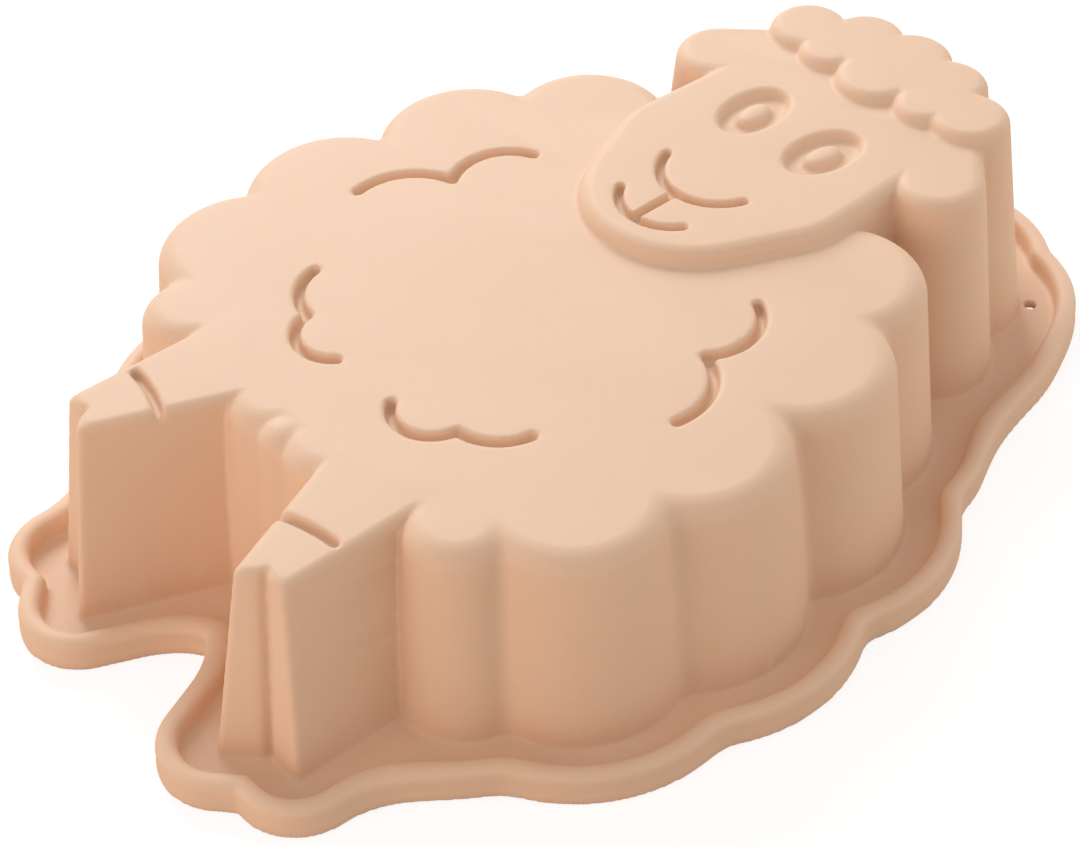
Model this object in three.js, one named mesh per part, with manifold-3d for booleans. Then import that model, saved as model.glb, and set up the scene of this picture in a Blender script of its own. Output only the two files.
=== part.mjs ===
// A silicone cake mould in the shape of a standing lamb, upside down as it rests on a
// table: the open side faces down, and the floor of the mould is the flat top.
// Units are millimetres, +Z is up, +Y runs from the hooves to the hair, and the lamb is
// the same on both sides of x = 0. The origin is under the middle of the rim.

import * as THREE from 'three';
import { mergeVertices } from 'three/addons/utils/BufferGeometryUtils.js';
import Module from 'manifold-3d';

// Overall sizes
const LAMB_LENGTH = 230;
const FLEECE_WIDTH = 162.6;
const BODY_HEIGHT = 52.2;
const FACE_RISE = 4.2;
const HAIR_RISE = 2.9;
const WALL = 2.2;

// Rim that lies on the table
const FLANGE_THICKNESS = 2.5;
const FLANGE_WIDTH = 7.8;
const BEAD_WIDTH = 4.8;
const BEAD_HEIGHT = 8;
const BEAD_EDGE = 2;
const HANG_HOLE_DIAMETER = 2.8;

// How far each wall leans out on its way down to the table
const FLEECE_SPREAD = 5;
const LEG_SPREAD = 5.6;
const HEAD_SPREAD = 6.1;
const HAIR_SPREAD = 7.6;

// Radii of the edges round each flat top and of the hoof corners, and the least radius that
// such an edge has inside the mould
const FLEECE_EDGE = 5;
const LEG_EDGE = 3;
const FACE_EDGE = 3.4;
const EAR_EDGE = 3;
const HAIR_EDGE = 3;
const HOOF_CORNER = 1.8;
const LEAST_EDGE = 1;

// Grooves
const CURL_GROOVE_WIDTH = 3.8;
const ANKLE_GROOVE_WIDTH = 4.4;
const SMILE_GROOVE_WIDTH = 3;

// Eyes
const EYE_LENGTH = 22;
const EYE_WIDTH = 14.4;
const EYE_FLOOR_SHARE = 0.74;
const EYE_DEPTH = 2.4;
const EYE_TILT = 0.09;
const PUPIL_LENGTH = 10.8;
const PUPIL_WIDTH = 6.6;
const PUPIL_HEIGHT = 1.9;

// Cuts run past the faces that they open by this much
const OVERRUN = 1;

// Corners of facets closer together than this are one corner
const WELD = 0.001;

// Coarseness of the round shapes: how far a flat may cut into an arc, and step counts
const OUTSIDE = { tolerance: 0.3, edgeSteps: 2, grooveSteps: 6, grooveSides: 8, ovalSides: 18 };
const INSIDE = { tolerance: 0.6, edgeSteps: 1, grooveSteps: 3, grooveSides: 6, ovalSides: 12 };

// Circles of the outline as [x, y, radius]: x and radius are shares of half the fleece's
// width, and y is a share of the lamb's length. Each has a twin on the other side.
const fleeceShares = [
  [0.119, -0.316, 0.123],
  [0.567, -0.296, 0.139],
  [0.689, -0.2, 0.25],
  [0.732, -0.075, 0.269],
  [0.679, 0.079, 0.262],
  [0.515, 0.193, 0.24],
];
const hairShares = [
  [0.194, 0.4325, 0.088],
  [0.325, 0.449, 0.114],
  [0.167, 0.478, 0.113],
];
const faceShares = [
  [0.124, 0.231, 0.274],
  [0.143, 0.338, 0.242],
  [0.22, 0.42, 0.09],
];
const earShares = [
  [0.449, 0.359, 0.127],
  [0.34, 0.403, 0.114],
];

// Circles on the middle line
const tailShare = [0, -0.336, 0.068];
const chinShare = [0, 0.171, 0.317];
const fringeShare = [0, 0.432, 0.118];
const crownShare = [0, 0.485, 0.119];

// Corners of the two toes of a leg, as [x, y]
const innerToeShares = [[0.174, -0.318], [0.352, -0.468], [0.443, -0.439], [0.4, -0.29]];
const outerToeShares = [[0.356, -0.28], [0.4, -0.453], [0.451, -0.453], [0.446, -0.28]];

// Corner radii of the two cores that fill the middle of the fleece and of the hair
const bellyCoreShare = 0.07;
const crownCoreShare = 0.03;

// Grooves as chains of [x, y] with the bulge of the arc that leads on from each point,
// as a share of half the fleece's width
const upperCurlShares = [[0.465, 0.103, 0.064], [0.528, 0.014, 0.054], [0.669, -0.069, 0]];
const lowerCurlShares = [[0.461, -0.178, 0.034], [0.319, -0.224, 0.071], [0.116, -0.244, 0]];
const ankleShares = [[0.178, -0.427, 0.02], [0.55, -0.38, 0]];
const noseShares = [[-0.158, 0.188, -0.113], [0.158, 0.188, 0]];
const lipShares = [[0, 0.147, 0], [0, 0.092, 0]];
const mouthShares = [[-0.129, 0.116, -0.072], [0.129, 0.116, 0]];
const eyeShare = [0.141, 0.304];
const hangHoleShare = [0.496, 0.5086];

const halfWidth = FLEECE_WIDTH / 2;
const faceHeight = BODY_HEIGHT + FACE_RISE;
const hairHeight = faceHeight + HAIR_RISE;

const wasm = await Module();
wasm.setup();

// Outlines: a convex outline is a belt round pulleys. A round pulley grows as its wall
// leans out, and a sharp one keeps its radius and moves out with its two sides.
function roundPulley([x, y, r]) {
  return { x: x * halfWidth, y: y * LAMB_LENGTH, r: r * halfWidth, sharp: false };
}

function sharpPulley([x, y]) {
  return { x: x * halfWidth, y: y * LAMB_LENGTH, r: HOOF_CORNER, sharp: true };
}

function mirrored(pulleys) {
  return pulleys.map((pulley) => ({ ...pulley, x: -pulley.x })).reverse();
}

function sideAngle(from, to) {
  const length = Math.hypot(to.x - from.x, to.y - from.y);
  return Math.atan2(to.y - from.y, to.x - from.x) - Math.acos((from.r - to.r) / length);
}

// The belt's points go anticlockwise, each with its pulley, its direction and the way it
// moves when the wall leans out by one unit
function beltPoints(pulleys, widest, tolerance) {
  const points = [];
  pulleys.forEach((pulley, i) => {
    const before = pulleys[(i + pulleys.length - 1) % pulleys.length];
    const after = pulleys[(i + 1) % pulleys.length];
    const alone = pulleys.length === 1;
    const start = alone ? 0 : sideAngle(before, pulley);
    let turn = alone ? 2 * Math.PI : sideAngle(pulley, after) - start;
    turn -= 2 * Math.PI * Math.floor(turn / (2 * Math.PI) - (alone ? 1 : 0));
    const arc = 2 * Math.acos(1 - tolerance / (pulley.r + widest));
    const steps = Math.max(1, Math.ceil(turn / arc));
    const reach = 1 / Math.cos(turn / 2);
    const middle = start + turn / 2;
    for (let k = 0; k <= steps - (alone ? 1 : 0); k++) {
      const angle = start + (turn * k) / steps;
      const lean = pulley.sharp
        ? [reach * Math.cos(middle), reach * Math.sin(middle)]
        : [Math.cos(angle), Math.sin(angle)];
      points.push({ pulley, angle, lean });
    }
  });
  return points;
}

function placed({ pulley, angle, lean }, out, grow) {
  const reach = pulley.r + grow;
  return [
    pulley.x + out * lean[0] + reach * Math.cos(angle),
    pulley.y + out * lean[1] + reach * Math.sin(angle),
  ];
}

// A closed solid through the outline at each level, from the bottom level up
function stacked(pulleys, levels, tolerance) {
  const widest = Math.max(...levels.map(({ out, grow }) => (pulleys[0].sharp ? grow : out + grow)));
  const points = beltPoints(pulleys, widest, tolerance);
  const count = points.length;
  const positions = [];
  for (const { out, grow, z } of levels) {
    for (const point of points) positions.push(...placed(point, out, grow), z);
  }
  const top = (levels.length - 1) * count;
  const index = [];
  for (let i = 0; i < count; i++) {
    const j = (i + 1) % count;
    for (let k = 0; k + 1 < levels.length; k++) {
      const low = k * count;
      const high = low + count;
      index.push(low + i, low + j, high + j, low + i, high + j, high + i);
    }
    if (i > 0 && j > 0) index.push(0, j, i, top, top + i, top + j);
  }
  const geometry = new THREE.BufferGeometry();
  geometry.setAttribute('position', new THREE.Float32BufferAttribute(positions, 3));
  geometry.setIndex(index);
  return solid(geometry);
}

function solid(geometry) {
  geometry.deleteAttribute('normal');
  geometry.deleteAttribute('uv');
  const merged = mergeVertices(geometry);
  return new wasm.Manifold(new wasm.Mesh({
    numProp: 3,
    vertProperties: merged.attributes.position.array,
    triVerts: Uint32Array.from(merged.index.array),
  }));
}

// The solid's surface, without facets so thin that their corners or both sides coincide
function surfaceOf({ vertProperties, triVerts }) {
  const raw = new THREE.BufferGeometry();
  raw.setAttribute('position', new THREE.BufferAttribute(vertProperties, 3));
  raw.setIndex(new THREE.BufferAttribute(triVerts, 1));
  const geometry = mergeVertices(raw, WELD);
  const facets = new Map();
  const corners = geometry.index.array;
  for (let i = 0; i < corners.length; i += 3) {
    const facet = [...corners.slice(i, i + 3)];
    const key = [...facet].sort((a, b) => a - b).join();
    if (new Set(facet).size < 3 || facets.delete(key)) continue;
    facets.set(key, facet);
  }
  geometry.setIndex([...facets.values()].flat());
  geometry.computeVertexNormals();
  return geometry;
}

function joined(solids) {
  return solids.reduce((sum, next) => sum.add(next));
}

// Levels of a wall that leans out on its way down and rounds over at its top. The same
// wall moved in by the skin's thickness is the wall of the hollow.
function wallLevels({ height, spread, edge }, inset, edgeSteps) {
  const top = height - inset;
  const radius = Math.max(edge - inset, LEAST_EDGE);
  const lean = (z) => spread * (1 - z / height) - inset;
  const foot = inset > 0 ? -OVERRUN : 0;
  const levels = [{ out: lean(foot), grow: 0, z: foot }];
  for (let k = 0; k <= edgeSteps; k++) {
    const angle = (Math.PI / 2) * (k / edgeSteps);
    const z = top - radius * (1 - Math.sin(angle));
    levels.push({ out: lean(z) - radius * (1 - Math.cos(angle)), grow: 0, z });
  }
  return levels;
}

// Levels of the rim's outside, and of the channel between the walls and the bead
function rimLevels(spread) {
  const width = FLANGE_WIDTH + BEAD_WIDTH;
  const levels = [{ out: spread, grow: width, z: 0 }];
  for (let k = 0; k <= OUTSIDE.edgeSteps; k++) {
    const angle = (Math.PI / 2) * (k / OUTSIDE.edgeSteps);
    const z = BEAD_HEIGHT - BEAD_EDGE * (1 - Math.sin(angle));
    levels.push({ out: spread, grow: width - BEAD_EDGE * (1 - Math.cos(angle)), z });
  }
  return levels;
}

function channelLevels(spread) {
  const levels = [{ out: spread, grow: FLANGE_WIDTH, z: FLANGE_THICKNESS }];
  for (let k = 0; k <= OUTSIDE.edgeSteps; k++) {
    const angle = (Math.PI / 2) * (k / OUTSIDE.edgeSteps);
    const z = BEAD_HEIGHT - BEAD_EDGE * (1 - Math.sin(angle));
    levels.push({ out: spread, grow: FLANGE_WIDTH + BEAD_EDGE * (1 - Math.cos(angle)), z });
  }
  levels.push({ out: spread, grow: FLANGE_WIDTH + BEAD_EDGE, z: BEAD_HEIGHT + OVERRUN });
  return levels;
}

// Every convex block of the lamb, with its height, the lean of its wall and its top edge
function lambBlocks() {
  const fleece = { height: BODY_HEIGHT, spread: FLEECE_SPREAD, edge: FLEECE_EDGE };
  const leg = { height: BODY_HEIGHT, spread: LEG_SPREAD, edge: LEG_EDGE };
  const head = { height: faceHeight, spread: HEAD_SPREAD, edge: FACE_EDGE };
  const ear = { height: faceHeight, spread: HEAD_SPREAD, edge: EAR_EDGE };
  const hair = { height: hairHeight, spread: HAIR_SPREAD, edge: HAIR_EDGE };
  const blocks = [];
  const both = (pulleys, wall) => {
    blocks.push({ pulleys, wall }, { pulleys: mirrored(pulleys), wall });
  };
  for (const share of fleeceShares) both([roundPulley(share)], fleece);
  for (const share of hairShares) both([roundPulley(share)], hair);
  both(earShares.map(roundPulley), ear);
  both(innerToeShares.map(sharpPulley), leg);
  both(outerToeShares.map(sharpPulley), leg);
  blocks.push({ pulleys: [roundPulley(tailShare)], wall: fleece });
  blocks.push({ pulleys: [roundPulley(fringeShare)], wall: hair });
  blocks.push({ pulleys: [roundPulley(crownShare)], wall: hair });
  const cheeks = faceShares.map(roundPulley);
  blocks.push({ pulleys: [roundPulley(chinShare), ...cheeks, ...mirrored(cheeks)], wall: head });
  const belly = fleeceShares.map(([x, y]) => roundPulley([x, y, bellyCoreShare]));
  blocks.push({ pulleys: [...belly, ...mirrored(belly)], wall: fleece });
  const crown = [...hairShares, crownShare].map(([x, y]) => roundPulley([x, y, crownCoreShare]));
  blocks.push({ pulleys: [...crown, ...mirrored(crown.slice(0, -1))], wall: hair });
  return blocks;
}

// Grooves: an arc with the given bulge to its right as it runs from one point to the next
function arcPoints(from, to, bulge, z, steps) {
  const points = [];
  const along = new THREE.Vector2().subVectors(to, from);
  const side = new THREE.Vector2(along.y, -along.x).normalize();
  const radius = (along.lengthSq() / 4 + bulge * bulge) / (2 * Math.abs(bulge) || 1);
  for (let k = 0; k <= steps; k++) {
    const share = k / steps;
    const offset = (share - 1 / 2) * along.length();
    const rise = bulge === 0 ? 0
      : Math.sign(bulge) * (Math.sqrt(radius * radius - offset * offset) - radius) + bulge;
    const point = from.clone().addScaledVector(along, share).addScaledVector(side, rise);
    points.push(new THREE.Vector3(point.x, point.y, z));
  }
  return points;
}

function ball(centre, radius, sides) {
  const geometry = new THREE.SphereGeometry(radius, sides, sides / 2);
  return solid(geometry.translate(centre.x, centre.y, centre.z));
}

function groove(shares, side, width, z, { grooveSteps, grooveSides }) {
  const section = new THREE.Shape();
  section.absarc(0, 0, width / 2, 0, 2 * Math.PI, false);
  const tubes = [];
  const nodes = shares.map(([x, y]) => new THREE.Vector2(side * x * halfWidth, y * LAMB_LENGTH));
  tubes.push(ball(new THREE.Vector3(nodes[0].x, nodes[0].y, z), width / 2, grooveSides));
  for (let i = 0; i + 1 < nodes.length; i++) {
    const bulge = -side * shares[i][2] * halfWidth;
    const path = arcPoints(nodes[i], nodes[i + 1], bulge, z, grooveSteps);
    const settings = {
      steps: grooveSteps,
      curveSegments: grooveSides / 2,
      bevelEnabled: false,
      extrudePath: new THREE.CatmullRomCurve3(path),
    };
    tubes.push(solid(new THREE.ExtrudeGeometry(section, settings)));
    tubes.push(ball(path[path.length - 1], width / 2, grooveSides));
  }
  return joined(tubes);
}

// An eye is an oval dish with a domed pupil left standing in it
function eyeDish(side, margin, { ovalSides }) {
  const [x, y] = eyeShare;
  const depth = EYE_DEPTH + OVERRUN;
  const geometry = new THREE.CylinderGeometry(1, EYE_FLOOR_SHARE, depth, ovalSides);
  geometry.rotateX(Math.PI / 2);
  geometry.scale(EYE_WIDTH / 2 + margin, EYE_LENGTH / 2 + margin, 1);
  geometry.rotateZ(-side * EYE_TILT);
  geometry.translate(side * x * halfWidth, y * LAMB_LENGTH, 0);
  return solid(geometry.translate(0, 0, faceHeight - margin + OVERRUN - depth / 2));
}

function pupil(side) {
  const [x, y] = eyeShare;
  const sides = INSIDE.ovalSides;
  const geometry = new THREE.SphereGeometry(1, sides, sides / 2);
  geometry.rotateX(Math.PI / 2);
  geometry.scale(PUPIL_WIDTH / 2, PUPIL_LENGTH / 2, PUPIL_HEIGHT);
  geometry.rotateZ(-side * EYE_TILT);
  return solid(geometry.translate(side * x * halfWidth, y * LAMB_LENGTH, faceHeight - EYE_DEPTH));
}

// All dents of the top, each wider and deeper by the margin. With a margin of the skin's
// thickness they are the ridges that the same dents raise inside the mould.
function dents(margin, detail) {
  const widened = (width) => width + 2 * margin;
  const list = [];
  for (const side of [-1, 1]) {
    list.push(groove(upperCurlShares, side, widened(CURL_GROOVE_WIDTH), BODY_HEIGHT, detail));
    list.push(groove(lowerCurlShares, side, widened(CURL_GROOVE_WIDTH), BODY_HEIGHT, detail));
    list.push(groove(ankleShares, side, widened(ANKLE_GROOVE_WIDTH), BODY_HEIGHT, detail));
    list.push(eyeDish(side, margin, detail));
  }
  for (const shares of [noseShares, lipShares, mouthShares]) {
    list.push(groove(shares, 1, widened(SMILE_GROOVE_WIDTH), faceHeight, detail));
  }
  return joined(list);
}

function hangHole() {
  const [x, y] = hangHoleShare;
  const radius = HANG_HOLE_DIAMETER / 2;
  const geometry = new THREE.CylinderGeometry(radius, radius, BEAD_HEIGHT, INSIDE.ovalSides);
  geometry.rotateX(Math.PI / 2);
  return solid(geometry.translate(x * halfWidth, y * LAMB_LENGTH, 0));
}

function lambShape(levelsFor, { tolerance }) {
  return joined(lambBlocks().map(({ pulleys, wall }) => {
    return stacked(pulleys, levelsFor(wall), tolerance);
  }));
}

function mouldGeometry() {
  const body = lambShape((wall) => wallLevels(wall, 0, OUTSIDE.edgeSteps), OUTSIDE);
  const hollow = lambShape((wall) => wallLevels(wall, WALL, INSIDE.edgeSteps), INSIDE);
  const rim = lambShape((wall) => rimLevels(wall.spread), OUTSIDE);
  const channel = lambShape((wall) => channelLevels(wall.spread), OUTSIDE);
  const pupils = pupil(-1).add(pupil(1));
  const skin = body.subtract(dents(0, OUTSIDE)).add(pupils).add(rim.subtract(channel));
  const mould = skin.subtract(hollow.subtract(dents(WALL, INSIDE))).subtract(hangHole());
  return surfaceOf(mould.getMesh());
}

const silicone = new THREE.MeshStandardMaterial({ color: 0xe8c4a8, roughness: 0.62, metalness: 0 });
const siliconeMould = new THREE.Mesh(mouldGeometry(), silicone);
siliconeMould.name = 'silicone_mould';
siliconeMould.geometry.computeBoundingBox();
siliconeMould.position.y = -siliconeMould.geometry.boundingBox.getCenter(new THREE.Vector3()).y;

const lambMould = new THREE.Group();
lambMould.add(siliconeMould);

export default lambMould;
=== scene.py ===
import math

import bpy
import numpy as np
from mathutils import Matrix, Vector


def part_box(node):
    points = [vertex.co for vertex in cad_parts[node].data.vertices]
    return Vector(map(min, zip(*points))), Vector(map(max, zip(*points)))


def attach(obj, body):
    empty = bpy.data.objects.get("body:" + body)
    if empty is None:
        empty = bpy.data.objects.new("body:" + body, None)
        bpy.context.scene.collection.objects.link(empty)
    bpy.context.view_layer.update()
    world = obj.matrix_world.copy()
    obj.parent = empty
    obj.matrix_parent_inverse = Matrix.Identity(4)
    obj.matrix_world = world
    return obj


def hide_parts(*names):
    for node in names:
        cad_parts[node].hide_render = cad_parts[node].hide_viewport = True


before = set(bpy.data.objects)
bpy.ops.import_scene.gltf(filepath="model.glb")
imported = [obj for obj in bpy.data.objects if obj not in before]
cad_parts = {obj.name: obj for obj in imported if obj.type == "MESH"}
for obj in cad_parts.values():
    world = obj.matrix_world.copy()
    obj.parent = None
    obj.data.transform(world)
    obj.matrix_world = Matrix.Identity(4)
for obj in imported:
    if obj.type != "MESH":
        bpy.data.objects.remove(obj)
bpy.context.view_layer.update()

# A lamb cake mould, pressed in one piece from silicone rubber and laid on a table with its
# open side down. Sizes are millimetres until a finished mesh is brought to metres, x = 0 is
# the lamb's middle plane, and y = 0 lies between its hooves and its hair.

MM = 0.001
NODE = "silicone_mould"

# Overall sizes of the lamb
LAMB_LENGTH = 230.0
HALF_WIDTH = 81.3
BODY_HEIGHT = 52.2
FACE_HEIGHT = 56.4
HAIR_HEIGHT = 59.3
WALL = 2.2

# Flange and bead
FLANGE_THICKNESS = 2.5
FLANGE_WIDTH = 7.8
BEAD_WIDTH = 4.8
BEAD_HEIGHT = 8.0
BEAD_EDGE = 2.1
BEAD_FOOT = 1.6
RIM_CORNER = 15.0
HANG_HOLE_RADIUS = 1.4
HANG_HOLE_EDGE = 0.8

# How high a form stands, how far its wall leans out on the way down, and the radius of its
# top edge
FLEECE_WALL = (BODY_HEIGHT, 5.0, 5.0)
LEG_WALL = (BODY_HEIGHT, 5.6, 1.8)
FACE_WALL = (FACE_HEIGHT, 6.1, 3.2)
HAIR_WALL = (HAIR_HEIGHT, 7.6, 2.6)

# How far corners and edges are rounded: between lobes, ribs and locks, beside the ears, on
# the hooves, between one form and another, at the foot of the walls and at the open mouth
LOBE_CREASE = 2.8
RIB_CREASE = 1.0
LOCK_CREASE = 1.0
EAR_CREASE = 0.4
HOOF_CORNER = 1.8
HOOF_ROUND = 1.8
HOOF_CREASE = 0.5
LEG_CREASE = 0.6
HEAD_CREASE = 0.8
HAIR_CREASE = 0.5
FOOT_CREASE = 0.7
MOUTH_EDGE = 1.2

# Spacing of the sample points that the surface is drawn through, how much the density changes
# from one to the next, the share of the triangles that is kept, most where the surface bends,
# room round the mould, and the number of directions that a belt is measured along
VOXEL = 0.7
DENSITY_STEP = 0.25
KEPT_SHARE = 0.23
MARGIN = 3.0
PLAN_MARGIN = 9.0
DIRECTIONS = 240

# Circles as (x, y, radius): x and radius are shares of half the width, and y is a share of
# the length. Those off the middle line have a twin on the other side.
RIB_SHARES = [(0.0, -0.336, 0.068), (0.119, -0.316, 0.123)]
LOBE_SHARES = [
    (0.567, -0.296, 0.139), (0.689, -0.2, 0.25), (0.732, -0.075, 0.269), (0.679, 0.079, 0.262),
    (0.515, 0.193, 0.24),
]
HAIR_SHARES = [
    (0.0, 0.432, 0.118), (0.194, 0.4325, 0.088), (0.325, 0.449, 0.114), (0.167, 0.478, 0.113),
    (0.0, 0.485, 0.119),
]
FACE_SHARES = [
    (0.0, 0.171, 0.317), (0.124, 0.231, 0.274), (0.143, 0.338, 0.242), (0.22, 0.42, 0.09),
]
EAR_SHARES = [(0.449, 0.359, 0.127), (0.34, 0.403, 0.114)]
BELLY_CORE_SHARE = 0.07
CROWN_CORE_SHARE = 0.03

# Corners of the two toes of the right leg, in anticlockwise order
TOE_SHARES = [
    [(0.174, -0.318), (0.352, -0.468), (0.443, -0.439), (0.4, -0.29)],
    [(0.356, -0.28), (0.4, -0.453), (0.451, -0.453), (0.446, -0.28)],
]

# Cleft between the toes of a leg, from its inner end at the top to a point in front of it
CLEFT_SHARES = [(0.4, -0.459), (0.438, -0.503)]

# Grooves as points (x, y, bulge of the arc that leads on). Curls and ankles have a twin on
# the other side.
UPPER_CURL_SHARES = [(0.465, 0.103, 0.064), (0.528, 0.014, 0.054), (0.669, -0.069, 0.0)]
LOWER_CURL_SHARES = [(0.461, -0.178, 0.034), (0.319, -0.224, 0.071), (0.116, -0.244, 0.0)]
ANKLE_SHARES = [(0.178, -0.427, 0.02), (0.435, -0.3945, 0.0)]
NOSE_SHARES = [(-0.158, 0.188, -0.113), (0.158, 0.188, 0.0)]
LIP_SHARES = [(0.0, 0.147, 0.0), (0.0, 0.092, 0.0)]
MOUTH_SHARES = [(-0.129, 0.116, -0.072), (0.129, 0.116, 0.0)]
EYE_SHARE = (0.141, 0.304)
HANG_HOLE_SHARE = (0.496, 0.5086)

# Grooves as (height of the top that they are cut in, half their width, depth, lip)
CURL_GROOVE = (BODY_HEIGHT, 1.1, 3.0, 1.4)
ANKLE_GROOVE = (BODY_HEIGHT, 1.0, 2.4, 1.2)
SMILE_GROOVE = (FACE_HEIGHT, 1.0, 2.8, 1.0)

# Cleft as (half its width, how far its inner end comes out on the way down, lip)
CLEFT = (0.5, 5.8, 2.4)

# Dished eye: half its width and length at the floor, and the domed pupil that rises from it
EYE_HALF = (5.9, 9.7)
EYE_DEPTH = 2.6
EYE_DRAFT = 0.35
EYE_LIP = 1.7
EYE_FLOOR_EDGE = 0.8
EYE_TILT = 0.09
PUPIL_HALF = (3.5, 5.4)
PUPIL_HEIGHT = 2.3
PUPIL_EDGE = 2.5
PUPIL_CREASE = 1.0


def placed(share):
    """The point or circle that a share names, in millimetres."""
    x, y, *radius = share
    return (x * HALF_WIDTH, y * LAMB_LENGTH, *(r * HALF_WIDTH for r in radius))


def grid(low, high):
    """Sample places from low to high that fall on whole steps from zero."""
    return np.arange(math.floor(low / VOXEL), math.ceil(high / VOXEL) + 1) * VOXEL


# Plan of the lamb: how far each sample point lies outside each outline. x is folded onto the
# right side because the two sides are alike, and heights fall half a step off zero, so that
# the table's plane runs between two layers of samples.
REACH = [value / MM + PLAN_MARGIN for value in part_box(NODE)[1]]
GRID_X = grid(-REACH[0], REACH[0])
GRID_Y = grid(-REACH[1], REACH[1])
GRID_Z = grid(-MARGIN, HAIR_HEIGHT + MARGIN) + VOXEL / 2
PLAN_X, PLAN_Y = (axis.ravel() for axis in np.meshgrid(GRID_X, GRID_Y))
FOLDED_X = np.abs(PLAN_X)


def smooth_min(a, b, width):
    """The lesser of a and b, rounded where they differ by less than width."""
    near = np.maximum(width - np.abs(a - b), 0.0) / width
    return np.minimum(a, b) - near ** 2 * width / 4


def merged(distances, width):
    total = distances[0]
    for distance in distances[1:]:
        total = smooth_min(total, distance, width)
    return total


def circle(share):
    x, y, r = placed(share)
    return np.hypot(FOLDED_X - x, PLAN_Y - y) - r


def belt(circles):
    """Distance outside a belt drawn tight round circles, measured along many directions."""
    distance = np.full(PLAN_X.shape, -np.inf)
    for angle in np.linspace(0.0, 2 * math.pi, DIRECTIONS, endpoint=False):
        cos, sin = math.cos(angle), math.sin(angle)
        reach = max(x * cos + y * sin + r for x, y, r in circles)
        np.maximum(distance, PLAN_X * cos + PLAN_Y * sin - reach, out=distance)
    return distance


def mirrored(circles):
    return [(-x, y, r) for x, y, r in circles]


def both_sides(circles):
    return circles + mirrored([found for found in circles if found[0] > 0])


def sides(corners, out=0.0):
    """The sides of a convex toe as (normal x, normal y, offset), past its corner radius."""
    found = []
    for (x0, y0), (x1, y1) in zip(corners, corners[1:] + corners[:1]):
        length = math.hypot(x1 - x0, y1 - y0)
        nx, ny = (y1 - y0) / length, (x0 - x1) / length
        found.append((nx, ny, nx * x0 + ny * y0 + HOOF_CORNER + out))
    return found


def toe(corners):
    """Distance outside a toe, whose corners keep their radius as its sides lean out."""
    distance = None
    for nx, ny, offset in sides(corners):
        side = FOLDED_X * nx + PLAN_Y * ny - offset
        distance = side if distance is None else -smooth_min(-distance, -side, HOOF_ROUND)
    return distance


def toe_foot(corners, out):
    """Distance outside a toe's foot on the flange, with round corners, for the rim."""
    planes = sides(corners, out - HOOF_CORNER)
    circles = []
    for (ax, ay, a), (bx, by, b) in zip(planes[-1:] + planes[:-1], planes):
        turn = ax * by - ay * bx
        circles.append(((a * by - b * ay) / turn, (b * ax - a * bx) / turn, HOOF_CORNER))
    return np.minimum(belt(circles), belt(mirrored(circles)))


def core(shares, radius_share):
    """The middle of a scalloped form, which fills what its lobes leave between them."""
    return belt(both_sides([placed((x, y, radius_share)) for x, y, _ in shares]))


def arc_points(start, end, bulge, steps=24):
    """Points on an arc that bulges to the right of the way from start to end."""
    start, end = Vector(start), Vector(end)
    along = end - start
    side = Vector((along.y, -along.x)).normalized()
    points = []
    for step in range(steps + 1):
        share = step / steps
        offset = (share - 0.5) * along.length
        rise = 0.0
        if bulge:
            radius = (along.length_squared / 4 + bulge * bulge) / (2 * abs(bulge))
            dip = math.sqrt(radius ** 2 - offset ** 2) - radius
            rise = math.copysign(1, bulge) * dip + bulge
        points.append(start + along * share + side * rise)
    return points


def across_and_along(shares):
    """Each plan point's place beside and along a straight line."""
    (x0, y0), (x1, y1) = (placed(share) for share in shares)
    length = math.hypot(x1 - x0, y1 - y0)
    ux, uy = (x1 - x0) / length, (y1 - y0) / length
    px, py = FOLDED_X - x0, PLAN_Y - y0
    return px * uy - py * ux, px * ux + py * uy


def groove(shares, side_x):
    """How far every plan point lies from the middle line of a groove."""
    nearest = np.full(PLAN_X.shape, np.inf)
    for (x0, y0, bulge), (x1, y1, _) in zip(shares, shares[1:]):
        path = arc_points(placed((x0, y0)), placed((x1, y1)), -bulge * HALF_WIDTH)
        for a, b in zip(path, path[1:]):
            along = b - a
            px, py = side_x - a.x, PLAN_Y - a.y
            share = np.clip((px * along.x + py * along.y) / along.length_squared, 0.0, 1.0)
            nearest = np.minimum(nearest, np.hypot(px - share * along.x, py - share * along.y))
    return nearest


def eye_ellipse(half):
    """Distance outside an ellipse round the middle of the eye, true near its edge."""
    x, y = placed(EYE_SHARE)
    cos, sin = math.cos(EYE_TILT), math.sin(EYE_TILT)
    px, py = FOLDED_X - x, PLAN_Y - y
    u, v = px * cos - py * sin, px * sin + py * cos
    scaled = np.hypot(u / half[0], v / half[1])
    steepness = np.hypot(u / half[0] ** 2, v / half[1] ** 2) / np.maximum(scaled, 1e-9)
    return (scaled - 1) / np.maximum(steepness, 1 / half[1])


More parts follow.
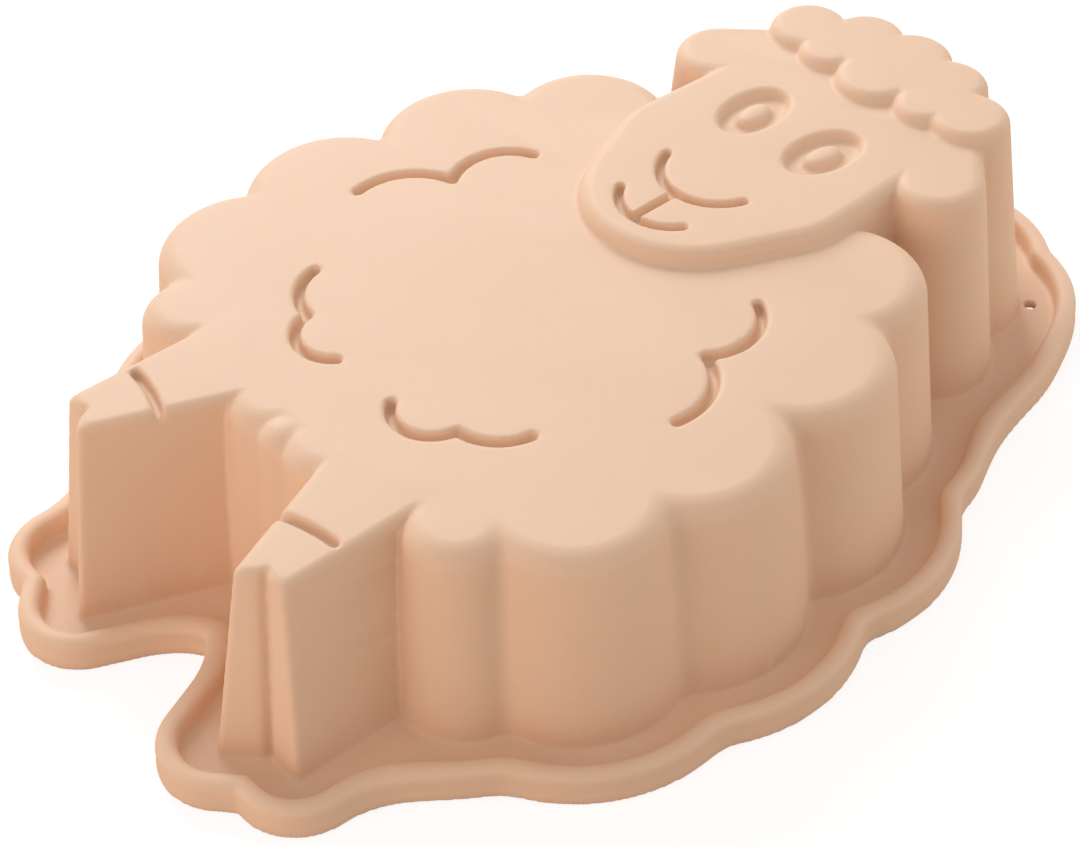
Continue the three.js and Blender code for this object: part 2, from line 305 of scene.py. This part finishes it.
def outlines():
    ribs = merged([circle(share) for share in RIB_SHARES], RIB_CREASE)
    lobes = merged([circle(share) for share in LOBE_SHARES], LOBE_CREASE)
    belly = core(RIB_SHARES[1:] + LOBE_SHARES, BELLY_CORE_SHARE)
    fleece = np.minimum(smooth_min(ribs, lobes, RIB_CREASE), belly)
    hair = merged([circle(share) for share in HAIR_SHARES], LOCK_CREASE)
    hair = np.minimum(hair, core(HAIR_SHARES[1:], CROWN_CORE_SHARE))
    ears = [placed(share) for share in EAR_SHARES]
    head = smooth_min(belt(both_sides([placed(share) for share in FACE_SHARES])),
                      np.minimum(belt(ears), belt(mirrored(ears))), EAR_CREASE)
    toes = [[placed(corner) for corner in corners] for corners in TOE_SHARES]
    foot = np.minimum(*[toe_foot(corners, LEG_WALL[1]) for corners in toes])
    rim = [fleece - FLEECE_WALL[1], foot, head - FACE_WALL[1], hair - HAIR_WALL[1]]
    curls = [groove(shares, FOLDED_X) for shares in (UPPER_CURL_SHARES, LOWER_CURL_SHARES)]
    smile = [groove(shares, PLAN_X) for shares in (NOSE_SHARES, LIP_SHARES, MOUTH_SHARES)]
    beside_cleft, along_cleft = across_and_along(CLEFT_SHARES)
    return {
        "beside cleft": beside_cleft, "along cleft": along_cleft,
        "fleece": fleece, "head": head, "hair": hair,
        "leg": merged([toe(corners) for corners in toes], HOOF_CREASE),
        "rim": merged(rim, RIM_CORNER),
        "curl": np.minimum.reduce(curls),
        "ankle": groove(ANKLE_SHARES, FOLDED_X),
        "smile": np.minimum.reduce(smile),
        "eye": eye_ellipse(EYE_HALF),
        "pupil": eye_ellipse(PUPIL_HALF),
    }


def add_node(tree, kind, inputs=(), **settings):
    """A node with its settings, whose inputs are set to values or linked to sockets."""
    node = tree.nodes.new(kind)
    for name, value in settings.items():
        setattr(node, name, value)
    for key, value in dict(inputs).items():
        socket = node.inputs[key]
        if isinstance(value, bpy.types.NodeSocket):
            tree.links.new(value, socket)
        else:
            socket.default_value = value
    return node


def linear(hex_value):
    """A linear RGBA colour from an sRGB hex value."""
    channels = [(hex_value >> shift & 255) / 255 for shift in (16, 8, 0)]
    return [c / 12.92 if c <= 0.04045 else ((c + 0.055) / 1.055) ** 2.4 for c in channels] + [1.0]


# The skin as a rule: a density that is over a half in the silicone and under a half outside
def skin_tree():
    tree = bpy.data.node_groups.new("moulded skin", "GeometryNodeTree")
    ports = tree.interface
    ports.new_socket("Plan", in_out="INPUT", socket_type="NodeSocketGeometry")
    sizes = {
        "Wall": WALL, "Flange Thickness": FLANGE_THICKNESS, "Flange Width": FLANGE_WIDTH,
        "Bead Width": BEAD_WIDTH, "Bead Height": BEAD_HEIGHT, "Bead Edge": BEAD_EDGE,
        "Foot Crease": FOOT_CREASE, "Mouth Edge": MOUTH_EDGE,
    }
    for name in sizes:
        ports.new_socket(name, in_out="INPUT", socket_type="NodeSocketFloat")
    ports.new_socket("Silicone", in_out="INPUT", socket_type="NodeSocketMaterial")
    ports.new_socket("Skin", in_out="OUTPUT", socket_type="NodeSocketGeometry")
    given = tree.nodes.new("NodeGroupInput").outputs

    def math_node(operation, *values):
        return add_node(tree, "ShaderNodeMath", enumerate(values), operation=operation).outputs[0]

    position = add_node(tree, "GeometryNodeInputPosition").outputs[0]
    x, y, z = add_node(tree, "ShaderNodeSeparateXYZ", {0: position}).outputs
    column = math_node("ROUND", math_node("MULTIPLY_ADD", x, 1 / VOXEL, -GRID_X[0] / VOXEL))
    row = math_node("ROUND", math_node("MULTIPLY_ADD", y, 1 / VOXEL, -GRID_Y[0] / VOXEL))
    index = math_node("MULTIPLY_ADD", row, float(len(GRID_X)), column)
    index = add_node(tree, "FunctionNodeFloatToInt", {0: index}).outputs[0]

    def plan(name):
        stored = add_node(tree, "GeometryNodeInputNamedAttribute", {"Name": name}).outputs[0]
        inputs = {"Geometry": given["Plan"], "Value": stored, "Index": index}
        return add_node(tree, "GeometryNodeSampleIndex", inputs).outputs[0]

    def hypotenuse(a, b):
        return math_node("SQRT", math_node("MULTIPLY_ADD", a, a, math_node("MULTIPLY", b, b)))

    def edge_rounded(side, top, radius):
        """Distance outside a form with this wall and top, whose edge has this radius."""
        past_side = math_node("MAXIMUM", math_node("ADD", side, radius), 0.0)
        past_top = math_node("MAXIMUM", math_node("ADD", top, radius), 0.0)
        inner = math_node("MULTIPLY", radius, -1.0)
        inside = math_node("MINIMUM", math_node("MAXIMUM", side, top), inner)
        return math_node("ADD", hypotenuse(past_side, past_top), inside)

    def form(name, wall):
        """Distance outside a form that stands on the flange, square to its leaning wall."""
        height, spread, edge = wall
        lean = math_node("MULTIPLY_ADD", z, spread / height, -spread)
        side = math_node("ADD", plan(name), lean)
        side = math_node("MULTIPLY", side, height / math.hypot(height, spread))
        return edge_rounded(side, math_node("SUBTRACT", z, height), edge)

    def without(solid, cut, lip):
        """A solid less what lies inside a cut, with a rounded lip."""
        return math_node("SMOOTH_MAX", solid, math_node("MULTIPLY", cut, -1.0), lip)

    def channel(name, top, half_width, depth):
        """Distance outside a groove with upright sides and a half-round bottom."""
        below = math_node("MINIMUM", math_node("SUBTRACT", z, top - depth + half_width), 0.0)
        return math_node("SUBTRACT", hypotenuse(plan(name), below), half_width)

    half_cleft, cleft_spread, cleft_lip = CLEFT
    inner_end = math_node("MULTIPLY_ADD", z, -cleft_spread / BODY_HEIGHT, cleft_spread)
    behind = math_node("MINIMUM", math_node("SUBTRACT", plan("along cleft"), inner_end), 0.0)
    cleft = math_node("SUBTRACT", hypotenuse(plan("beside cleft"), behind), half_cleft)
    leg = without(form("leg", LEG_WALL), cleft, cleft_lip)
    body = math_node("SMOOTH_MIN", form("fleece", FLEECE_WALL), leg, LEG_CREASE)
    body = math_node("SMOOTH_MIN", body, form("head", FACE_WALL), HEAD_CREASE)
    body = math_node("SMOOTH_MIN", body, form("hair", HAIR_WALL), HAIR_CREASE)
    for name, size in (("curl", CURL_GROOVE), ("ankle", ANKLE_GROOVE), ("smile", SMILE_GROOVE)):
        body = without(body, channel(name, *size[:3]), size[3])
    eye_floor = FACE_HEIGHT - EYE_DEPTH
    eye_lean = math_node("MULTIPLY_ADD", z, -EYE_DRAFT, EYE_DRAFT * eye_floor)
    eye_side = math_node("ADD", plan("eye"), eye_lean)
    dish = edge_rounded(eye_side, math_node("SUBTRACT", eye_floor, z), EYE_FLOOR_EDGE)
    body = without(body, dish, EYE_LIP)
    pupil_top = math_node("SUBTRACT", z, eye_floor + PUPIL_HEIGHT)
    pupil = edge_rounded(plan("pupil"), pupil_top, PUPIL_EDGE)
    body = math_node("SMOOTH_MIN", body, pupil, PUPIL_CREASE)

    rim_width = math_node("ADD", given["Flange Width"], given["Bead Width"])
    past_rim = math_node("SUBTRACT", plan("rim"), rim_width)
    flange = math_node("MAXIMUM", past_rim, math_node("SUBTRACT", z, given["Flange Thickness"]))
    half_bead = math_node("MULTIPLY", given["Bead Width"], 0.5)
    off_centre = math_node("ABSOLUTE", math_node("ADD", past_rim, half_bead))
    bead = edge_rounded(math_node("SUBTRACT", off_centre, half_bead),
                        math_node("SUBTRACT", z, given["Bead Height"]), given["Bead Edge"])
    flange = math_node("SMOOTH_MIN", flange, bead, BEAD_FOOT)
    outside = math_node("SMOOTH_MIN", body, flange, given["Foot Crease"])

    hollow = math_node("MULTIPLY", math_node("ADD", body, given["Wall"]), -1.0)
    skin = math_node("SMOOTH_MAX", outside, hollow, given["Mouth Edge"])
    hole_x, hole_y = placed(HANG_HOLE_SHARE)
    from_hole = hypotenuse(math_node("SUBTRACT", x, hole_x), math_node("SUBTRACT", y, hole_y))
    hole = math_node("SUBTRACT", HANG_HOLE_RADIUS, from_hole)
    skin = math_node("SMOOTH_MAX", skin, hole, HANG_HOLE_EDGE)
    skin = math_node("SMOOTH_MAX", skin, math_node("MULTIPLY", z, -1.0), given["Mouth Edge"])
    density = math_node("MULTIPLY_ADD", skin, -DENSITY_STEP / VOXEL, 0.5)
    density = add_node(tree, "ShaderNodeClamp", {"Value": density}).outputs[0]

    extent = {name: (GRID_X[i], GRID_Y[i], GRID_Z[i]) for name, i in (("Min", 0), ("Max", -1))}
    for axis, places in zip("XYZ", (GRID_X, GRID_Y, GRID_Z)):
        extent[f"Resolution {axis}"] = len(places)
    cube = add_node(tree, "GeometryNodeVolumeCube", {"Density": density, **extent})
    drawn = add_node(tree, "GeometryNodeVolumeToMesh",
                     {"Volume": cube.outputs[0], "Threshold": 0.5})
    smooth = add_node(tree, "GeometryNodeSetShadeSmooth", {"Geometry": drawn.outputs[0]})
    real = add_node(tree, "GeometryNodeRealizeInstances", {"Geometry": smooth.outputs[0]})
    painted = add_node(tree, "GeometryNodeSetMaterial",
                       {"Geometry": real.outputs[0], "Material": given["Silicone"]})
    add_node(tree, "NodeGroupOutput", {0: painted.outputs[0]})
    return tree, sizes


def plan_object():
    """The plan as loose points, one for each column of sample points, with its distances."""
    mesh = bpy.data.meshes.new("plan")
    mesh.vertices.add(len(PLAN_X))
    mesh.vertices.foreach_set("co", np.column_stack([PLAN_X, PLAN_Y, 0 * PLAN_X]).ravel())
    for name, values in outlines().items():
        stored = mesh.attributes.new(name, "FLOAT", "POINT")
        stored.data.foreach_set("value", values.astype(np.float32))
    thing = bpy.data.objects.new("plan", mesh)
    bpy.context.scene.collection.objects.link(thing)
    return thing


def evaluated(thing, tree, values, name):
    """The result of a tree on a thing, thinned and made a plain object of its own."""
    modifier = thing.modifiers.new(name, "NODES")
    modifier.node_group = tree
    for item in tree.interface.items_tree:
        if item.in_out == "INPUT" and item.name in values:
            modifier[item.identifier] = values[item.name]
    thinning = thing.modifiers.new("thinning", "DECIMATE")
    thinning.ratio = KEPT_SHARE
    thing.update_tag()
    depsgraph = bpy.context.evaluated_depsgraph_get()
    mesh = bpy.data.meshes.new_from_object(thing.evaluated_get(depsgraph))
    bpy.data.objects.remove(thing)
    mesh.name = name
    result = bpy.data.objects.new(name, mesh)
    bpy.context.scene.collection.objects.link(result)
    return result


def moulded_skin(material):
    """The skin of the mould in the CAD's place, and how far it was moved along y."""
    tree, sizes = skin_tree()
    skin = evaluated(plan_object(), tree, {**sizes, "Silicone": material}, "lamb_skin")
    low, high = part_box(NODE)
    points = np.empty(len(skin.data.vertices) * 3, np.float32)
    skin.data.vertices.foreach_get("co", points)
    points = points.reshape(-1, 3)
    middle = (points[:, 1].min() + points[:, 1].max()) / 2
    shift = Matrix.Translation((0.0, (low.y + high.y) / 2 / MM - middle, 0.0))
    skin.data.transform(Matrix.Scale(MM, 4) @ shift)
    return skin, float(shift.translation.y)


# Silicone rubber, pressed in a matt steel tool: a soft satin with no clear reflections, warm
# and a little translucent where it is thin or dented. Its peach tint drifts slowly between two
# shades, and the grain of the tool is drawn as coarse as it needs to show.
PEACH_SHADES = (0xE6C3A6, 0xEBCAAF)
DRIFT_SIZE = 45.0
GRAIN_SIZE = 0.9
GRAIN_DEPTH = 0.03
GLOW_DEPTH = 1.5


def silicone_rubber():
    material = bpy.data.materials.new("silicone_rubber_moulded")
    material.use_nodes = True
    tree = material.node_tree
    tree.nodes.clear()
    place = add_node(tree, "ShaderNodeTexCoord").outputs["Object"]
    drift = add_node(tree, "ShaderNodeTexNoise", {
        "Vector": place, "Scale": 1 / (DRIFT_SIZE * MM), "Detail": 2.0, "Roughness": 0.5,
    })
    darker, lighter = (linear(shade) for shade in PEACH_SHADES)
    tint = add_node(tree, "ShaderNodeMix",
                    {"Factor": drift.outputs["Fac"], "A": darker, "B": lighter}, data_type="RGBA")
    grain = add_node(tree, "ShaderNodeTexNoise", {
        "Vector": place, "Scale": 1 / (GRAIN_SIZE * MM), "Detail": 3.0, "Roughness": 0.6,
    }).outputs["Fac"]
    rough = add_node(tree, "ShaderNodeMapRange", {
        "Value": grain, "From Min": 0.3, "From Max": 0.7, "To Min": 0.5, "To Max": 0.58,
    })
    bump = add_node(tree, "ShaderNodeBump",
                    {"Height": grain, "Strength": 0.25, "Distance": GRAIN_DEPTH * MM})
    shader = add_node(tree, "ShaderNodeBsdfPrincipled", {
        "Base Color": tint.outputs[2], "Roughness": rough.outputs[0], "Normal": bump.outputs[0],
        "IOR": 1.41, "Subsurface Weight": 0.2, "Subsurface Radius": (1.0, 0.4, 0.2),
        "Subsurface Scale": GLOW_DEPTH * MM,
    })
    add_node(tree, "ShaderNodeOutputMaterial", {"Surface": shader.outputs[0]})
    return material


# Camera of the photograph, with its places in millimetres
PHOTO_WIDTH = 1080
FOCAL_PIXELS = 2611.0
SENSOR = 36.0
CAMERA_PLACE = (350.34, -294.59, 412.35)
CAMERA_TARGET = (-9.88, 0.0, 0.0)
CAMERA_ROLL = math.radians(-1.946)


def photo_camera(shift):
    data = bpy.data.cameras.new("photo_camera")
    camera = bpy.data.objects.new("photo_camera", data)
    bpy.context.scene.collection.objects.link(camera)
    data.sensor_width = SENSOR
    data.lens = SENSOR * FOCAL_PIXELS / PHOTO_WIDTH
    place = Vector(CAMERA_PLACE)
    look = (Vector(CAMERA_TARGET) - place).to_track_quat("-Z", "Y").to_matrix().to_4x4()
    roll = Matrix.Rotation(CAMERA_ROLL, 4, "Z")
    away = Matrix.Translation((place + Vector((0.0, shift, 0.0))) * MM)
    camera.matrix_world = away @ look @ roll
    bpy.context.scene.camera = camera
    return camera


# Studio: a plain white floor under soft lamps, with places and sizes in metres
SOFTBOX_SIZE = 0.7
FLOOR_REACH = 4.0


def softbox(name, place, level, tint):
    """A square lamp aimed at the mould, which lights a surface facing it to this level."""
    data = bpy.data.lights.new(name, "AREA")
    data.color = linear(tint)[:3]
    data.shape = "SQUARE"
    data.size = SOFTBOX_SIZE
    data.energy = level * math.pi ** 2 * Vector(place).length_squared
    lamp = bpy.data.objects.new(name, data)
    turned = (-Vector(place)).to_track_quat("-Z", "Y").to_matrix().to_4x4()
    lamp.matrix_world = Matrix.Translation(place) @ turned
    bpy.context.scene.collection.objects.link(lamp)


def white_floor():
    """A floor that the camera sees as white paper, with the mould's soft shadow on it."""
    mesh = bpy.data.meshes.new("floor")
    turns = ((-1, -1), (1, -1), (1, 1), (-1, 1))
    corners = [(x * FLOOR_REACH, y * FLOOR_REACH, 0) for x, y in turns]
    mesh.from_pydata(corners, [], [(0, 1, 2, 3)])
    floor = bpy.data.objects.new("floor", mesh)
    bpy.context.scene.collection.objects.link(floor)
    material = bpy.data.materials.new("white_paper")
    material.use_nodes = True
    tree = material.node_tree
    tree.nodes.clear()
    path = add_node(tree, "ShaderNodeLightPath")
    paper = add_node(tree, "ShaderNodeBsdfDiffuse", {"Color": linear(0xE8D6C6)})
    sheet = add_node(tree, "ShaderNodeBsdfDiffuse", {"Color": linear(0x959595)})
    glow = add_node(tree, "ShaderNodeEmission", {"Color": linear(0xFFFFFF), "Strength": 0.8})
    seen = add_node(tree, "ShaderNodeAddShader", {0: sheet.outputs[0], 1: glow.outputs[0]})
    mix = add_node(tree, "ShaderNodeMixShader",
                   {0: path.outputs["Is Camera Ray"], 1: paper.outputs[0], 2: seen.outputs[0]})
    add_node(tree, "ShaderNodeOutputMaterial", {"Surface": mix.outputs[0]})
    mesh.materials.append(material)


def studio_world():
    world = bpy.data.worlds.new("studio")
    bpy.context.scene.world = world
    world.use_nodes = True
    tree = world.node_tree
    tree.nodes.clear()
    path = add_node(tree, "ShaderNodeLightPath")
    seen = path.outputs["Is Camera Ray"]
    for ray in ("Is Glossy Ray", "Is Transmission Ray"):
        either = add_node(tree, "ShaderNodeMath", {0: seen, 1: path.outputs[ray]},
                          operation="MAXIMUM")
        seen = either.outputs[0]
    fill = add_node(tree, "ShaderNodeBackground", {"Color": linear(0xFFFCF8), "Strength": 0.54})
    white = add_node(tree, "ShaderNodeBackground", {"Color": linear(0xFFFFFF), "Strength": 1.0})
    mix = add_node(tree, "ShaderNodeMixShader",
                   {0: seen, 1: fill.outputs[0], 2: white.outputs[0]})
    add_node(tree, "ShaderNodeOutputWorld", {"Surface": mix.outputs[0]})


bpy.context.scene.view_settings.view_transform = "Standard"
skin, SHIFT = moulded_skin(silicone_rubber())
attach(skin, "root")
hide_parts(NODE)

photo_camera(SHIFT)
white_floor()
studio_world()
softbox("key_softbox", (-0.95, 0.4, 0.85), 0.62, 0xFAFCFF)
softbox("front_softbox", (-0.05, -0.95, 0.28), 0.31, 0xFFE4D4)
softbox("right_softbox", (0.64, 0.77, 0.3), 0.17, 0xFFF2EA)
